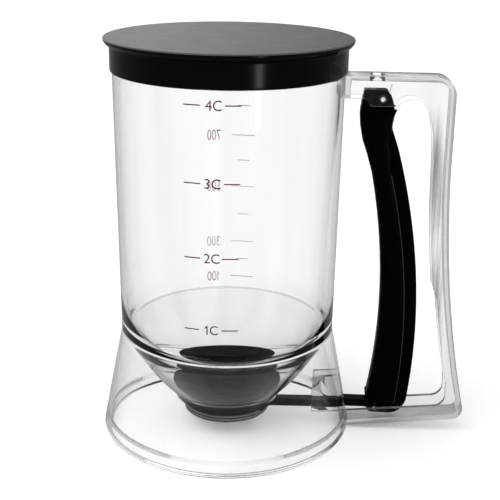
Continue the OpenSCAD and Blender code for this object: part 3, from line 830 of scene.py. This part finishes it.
print("wall radius at mid height in mm:", round(1000 * wall_radius(0.11), 2))

# %% [markdown]
# ## Digits and ticks
# A digit is a text object turned into a mesh and fitted to its printed size. Its points are merged
# and its edges cut, so that it bends with the wall. The font's figure one is a bare stroke here,
# so the one is drawn as an outline with a flag. A tick is a grid of ten cells, stretched to its
# length.

# %% Flat marks
ONE_OUTLINE = [
    (0.62, -0.5), (1.0, -0.5), (1.0, 0.5), (0.7, 0.5), (0.0, 0.22), (0.14, 0.1), (0.62, 0.3)]


def printed_text(text, width, height, shift):
    """Flat letters fitted to a width and a height, in metres, moved by shift along X."""
    bpy.ops.object.select_all(action="DESELECT")
    bpy.ops.object.text_add(location=(0, 0, 0))
    obj = bpy.context.object
    obj.data.body = text
    obj.data.align_x = "CENTER"
    obj.data.resolution_u = 4
    bpy.ops.object.convert(target="MESH")
    bpy.ops.object.mode_set(mode="EDIT")
    bpy.ops.mesh.select_all(action="SELECT")
    bpy.ops.mesh.remove_doubles(threshold=0.0005)
    bpy.ops.mesh.subdivide(number_cuts=2)
    bpy.ops.object.mode_set(mode="OBJECT")
    xs = [v.co.x for v in obj.data.vertices]
    ys = [v.co.y for v in obj.data.vertices]
    sx, sy = width / (max(xs) - min(xs)), height / (max(ys) - min(ys))
    for v in obj.data.vertices:
        v.co.x = (v.co.x - (max(xs) + min(xs)) / 2) * sx + shift
        v.co.y = (v.co.y - (max(ys) + min(ys)) / 2) * sy
    return obj


def printed_one(start, width, height):
    """A flat figure one with a flag, drawn as an outline, from start along X."""
    bpy.ops.object.select_all(action="DESELECT")
    bpy.ops.mesh.primitive_circle_add(vertices=len(ONE_OUTLINE), radius=0.01, fill_type="NGON")
    obj = bpy.context.object
    for v, (x, y) in zip(obj.data.vertices, ONE_OUTLINE):
        v.co = (start + x * width, y * height, 0)
    return obj


def printed_tick(start, end, thick):
    """A flat tick from start to end along X."""
    bpy.ops.object.select_all(action="DESELECT")
    bpy.ops.mesh.primitive_grid_add(x_subdivisions=10, y_subdivisions=1, size=1)
    obj = bpy.context.object
    bpy.ops.object.mode_set(mode="EDIT")
    bpy.ops.transform.resize(value=(end - start, thick, 1))
    bpy.ops.transform.translate(value=((start + end) / 2, 0, 0))
    bpy.ops.object.mode_set(mode="OBJECT")
    return obj


# %% [markdown]
# ## The cup scale in front
# Four rows count cups. Each has its height and the ends of the left tick, the word and the right
# tick along the wall, in mm. The rows on a real cup aren't quite alike, so each has its own
# numbers.

# %% The cup scale
FRONT, CUP_TICK, CUP_DIGIT = -90, 0.5 * MM, 4.3 * MM
CUP_ROWS = {
    "1C": (67.8, (-14.6, -7.9), (-5.5, 0.35), (1.9, 8.9)),
    "2C": (100.8, (-14.3, -7.3), (-5.6, 1.0), (1.9, 9.0)),
    "3C": (133.5, (-14.3, -7.2), (-5.4, 1.3), (2.7, 9.4)),
    "4C": (166.1, (-14.2, -7.1), (-5.0, 1.7), (3.0, 9.6)),
}
for label, (z, left, word, right) in CUP_ROWS.items():
    marks = [printed_tick(left[0] * MM, left[1] * MM, CUP_TICK)]
    marks.append(printed_tick(right[0] * MM, right[1] * MM, CUP_TICK))
    text, (start, end) = label, word
    if text[0] == "1":
        marks.append(printed_one(start * MM, 1.4 * MM, 4.2 * MM))
        text, start = text[1:], start + 2.3
    middle = start + (end - start) / 2
    marks.append(printed_text(text, (end - start) * MM, CUP_DIGIT, middle * MM))
    print_row("scale_row_" + label, marks, FRONT, z * MM, cup_ink)
print("cup scale printed:", len(CUP_ROWS), "rows")

# %% [markdown]
# ## The millilitre scale behind
# The scale on the far side counts millilitres, with a number at every second tick. It reads from
# behind, so from the front it shows mirrored through both walls. Its digits are tall and narrow.

# %% The millilitre scale
BEHIND, ML_TICK, ML_DIGIT, ML_RAISE = 90, 0.36 * MM, 5.4 * MM, 0.55
ML_ROWS = {
    100: 55.5, 200: 65.3, 300: 74.9, 400: 89.7, 500: 104.4, 600: 118.1, 700: 131.0, 800: 146.0,
}
FADED_ROWS = (300, 400, 500)
for amount, z in ML_ROWS.items():
    if amount % 200:
        marks = [printed_tick(-9.3 * MM, 2.8 * MM, ML_TICK)]
        if amount == 100:
            marks.append(printed_one(9.0 * MM, 1.0 * MM, 5.3 * MM))
            marks.append(printed_text("00", 5.0 * MM, ML_DIGIT, 13.1 * MM))
        else:
            marks.append(printed_text(str(amount), 7.0 * MM, ML_DIGIT, 12.2 * MM))
    else:
        marks = [printed_tick(-6.5 * MM, -0.4 * MM, ML_TICK)]
    film_ink = faded_ink if amount in FADED_ROWS else ml_ink
    print_row("scale_row_ml_" + str(amount), marks, BEHIND, (z + ML_RAISE) * MM, film_ink)
print("millilitre scale printed:", len(ML_ROWS), "rows")

# %% [markdown]
# ## The table
# The object stands on a plain white table that keeps its shadow. Seen in a mirror reflection the
# table is darker, so black plastic stays black above it and clear plastic gets a thin outline.
# After a reflection inside the clear plastic it is only slightly darker. A faint glow of its own
# lifts the table to the white of the room. The glow is left out for bounced light, or it would act
# as a lamp.

# %% Table
TABLE_WHITE, TABLE_DARK = grey(0.97), grey(0.02)
MIRRORED_SHARE, INNER_SHARE, GLOW = 0.5, 0.16, 0.2

bpy.ops.object.select_all(action="DESELECT")
bpy.ops.mesh.primitive_circle_add(
    vertices=96, radius=4, fill_type="NGON", location=(0, 0, -0.2 * MM))
floor = bpy.context.object
floor.name = "floor"
white, tree, shader = new_material("white table")
shader.inputs["Roughness"].default_value = 0.9
shader.inputs["Specular IOR Level"].default_value = 0.0
paths = tree.nodes.new("ShaderNodeLightPath")
inner = computed(tree, "MINIMUM", paths.outputs["Glossy Depth"], INNER_SHARE)
mirrored = computed(
    tree, "SUBTRACT", paths.outputs["Is Reflection Ray"], paths.outputs["Is Diffuse Ray"],
    clamp=True)
shade = tree.nodes.new("ShaderNodeMix")
shade.data_type = "RGBA"
shade.inputs["A"].default_value = TABLE_WHITE
shade.inputs["B"].default_value = TABLE_DARK
darkness = computed(tree, "MULTIPLY_ADD", mirrored, MIRRORED_SHARE, inner)
tree.links.new(darkness, shade.inputs["Factor"])
tree.links.new(shade.outputs["Result"], shader.inputs["Base Color"])
bounced = computed(
    tree, "ADD", paths.outputs["Is Diffuse Ray"], paths.outputs["Glossy Depth"], clamp=True)
glow = tree.nodes.new("ShaderNodeEmission")
tree.links.new(ranged(tree, bounced, GLOW, 0.0, 0.0, 1.0), glow.inputs["Strength"])
both = tree.nodes.new("ShaderNodeAddShader")
tree.links.new(shader.outputs[0], both.inputs[0])
tree.links.new(glow.outputs[0], both.inputs[1])
tree.links.new(both.outputs[0], tree.nodes["Material Output"].inputs["Surface"])
floor.data.materials.append(white)
print("table made")

# %% [markdown]
# ## The room
# The room is white all round, but each kind of ray sees its own white, as a studio has cards for
# each surface. The camera sees plain white behind the object. Diffuse light is a little weaker, so
# that the lamps can shape it. Rays that have come through clear plastic see a bright white, or
# after a reflection inside it a room with a darker ceiling, which draws the edges of the plastic.
# Mirror reflections see a room that darkens overhead and towards the right, and that gives the
# lid's top its soft change of tone. Everything else depends on height alone, so the object looks
# right from all sides.

# %% Room
world = bpy.data.worlds.new("white room")
bpy.context.scene.world = world
world.use_nodes = True
sky = world.node_tree
sky.nodes.clear()


def background(strength, color=None):
    """Light from all round, white or of a colour that a node gives."""
    node = sky.nodes.new("ShaderNodeBackground")
    node.inputs["Color"].default_value = grey(1)
    node.inputs["Strength"].default_value = strength
    if color:
        sky.links.new(color, node.inputs["Color"])
    return node.outputs[0]


def mixed(factor, first, second):
    """First where factor is 0, second where it is 1."""
    node = sky.nodes.new("ShaderNodeMixShader")
    sky.links.new(factor, node.inputs["Fac"])
    sky.links.new(first, node.inputs[1])
    sky.links.new(second, node.inputs[2])
    return node.outputs[0]


def product(first, second):
    """Two colours multiplied."""
    node = sky.nodes.new("ShaderNodeMix")
    node.data_type = "RGBA"
    node.blend_type = "MULTIPLY"
    node.inputs["Factor"].default_value = 1.0
    sky.links.new(first, node.inputs["A"])
    sky.links.new(second, node.inputs["B"])
    return node.outputs["Result"]


direction = sky.nodes.new("ShaderNodeTexCoord")
split = sky.nodes.new("ShaderNodeSeparateXYZ")
sky.links.new(direction.outputs["Generated"], split.inputs[0])
height = split.outputs["Z"]
side = computed(sky, "MULTIPLY_ADD", split.outputs["X"], 0.5, 0.5)
paths = sky.nodes.new("ShaderNodeLightPath")
inside_plastic = computed(sky, "MINIMUM", paths.outputs["Glossy Depth"], 1.0)
overhead = ramp(sky, height, grey(1.0), grey(0.35), 0.45, 0.8)
right_card = ramp(sky, side, grey(1.0), grey(0.35), 0.42, 0.56)
ceiling = ramp(sky, height, grey(1.0), grey(0.2), 0.5, 0.85)
surface = mixed(inside_plastic, background(1.16), background(0.95, ceiling))
surface = mixed(
    paths.outputs["Is Reflection Ray"], surface, background(0.8, product(overhead, right_card)))
surface = mixed(paths.outputs["Is Diffuse Ray"], surface, background(0.6))
surface = mixed(paths.outputs["Is Camera Ray"], surface, background(1.0))
sky.links.new(surface, sky.nodes.new("ShaderNodeOutputWorld").inputs["Surface"])
print("room made")

# %% [markdown]
# ## Suns
# Two large soft suns light the object from above, the stronger from the left. They are wide and
# weak, so shadows have soft edges and nothing gets brighter than white, and each colour comes out
# about as it was written.

# %% Suns
def sun(name, place, strength, spread):
    """A sun that shines from a place towards the origin, with a spread in degrees."""
    data = bpy.data.lights.new(name, "SUN")
    data.energy = strength
    data.angle = math.radians(spread)
    obj = bpy.data.objects.new(name, data)
    bpy.context.scene.collection.objects.link(obj)
    obj.rotation_euler = (-Vector(place)).to_track_quat("-Z", "Y").to_euler()


sun("soft key from above left", (-0.5, -0.3, 1.0), 1.0, 50)
sun("soft fill from the right", (0.8, -0.4, 0.8), 0.45, 60)
print("suns made")

# %% [markdown]
# ## Strip lamp
# A tall strip lamp at the right gives the upright highlight on the lid's polished wall. It stands
# lower than the lid's top, so that the satin top doesn't catch it, and only reflections see it.

# %% Strip lamp
STRIP_PLACE, STRIP_AIM = Vector((0.34, -0.55, 0.09)), Vector((0.0, 0.0, 0.09))
strip = bpy.data.lights.new("tall strip", "AREA")
strip.shape = "RECTANGLE"
strip.size, strip.size_y = 0.05, 0.16
strip.energy = 0.48
strip_obj = bpy.data.objects.new("tall strip", strip)
bpy.context.scene.collection.objects.link(strip_obj)
strip_obj.location = STRIP_PLACE
strip_obj.rotation_euler = (STRIP_AIM - STRIP_PLACE).to_track_quat("-Z", "Y").to_euler()
strip_obj.visible_camera = False
strip_obj.visible_diffuse = False
strip_obj.visible_transmission = False
print("strip lamp made")

# %% [markdown]
# ## Camera
# A camera about 46 cm away and a little above the lid looks down at the cup. Its place and turn
# are given as three directions, so it needs no target object.

# %% Camera
CAMERA_PLACE = Vector((0.04001, -0.45732, 0.2465))
CAMERA_RIGHT = Vector((0.99751183, 0.06915247, 0.01371445))
CAMERA_UP = Vector((-0.03557919, 0.32585902, 0.94474865))
camera_data = bpy.data.cameras.new("camera")
camera_data.sensor_width = 36
camera_data.lens = 74.06
camera_data.clip_start = 0.01
camera_data.clip_end = 50
camera = bpy.data.objects.new("camera", camera_data)
bpy.context.scene.collection.objects.link(camera)
back = CAMERA_RIGHT.cross(CAMERA_UP).normalized()
turn = Matrix((CAMERA_RIGHT.normalized(), back.cross(CAMERA_RIGHT).normalized(), back)).transposed()
camera.matrix_world = Matrix.Translation(CAMERA_PLACE) @ turn.to_4x4()
bpy.context.scene.camera = camera
print("camera at", [round(v, 3) for v in camera.location])
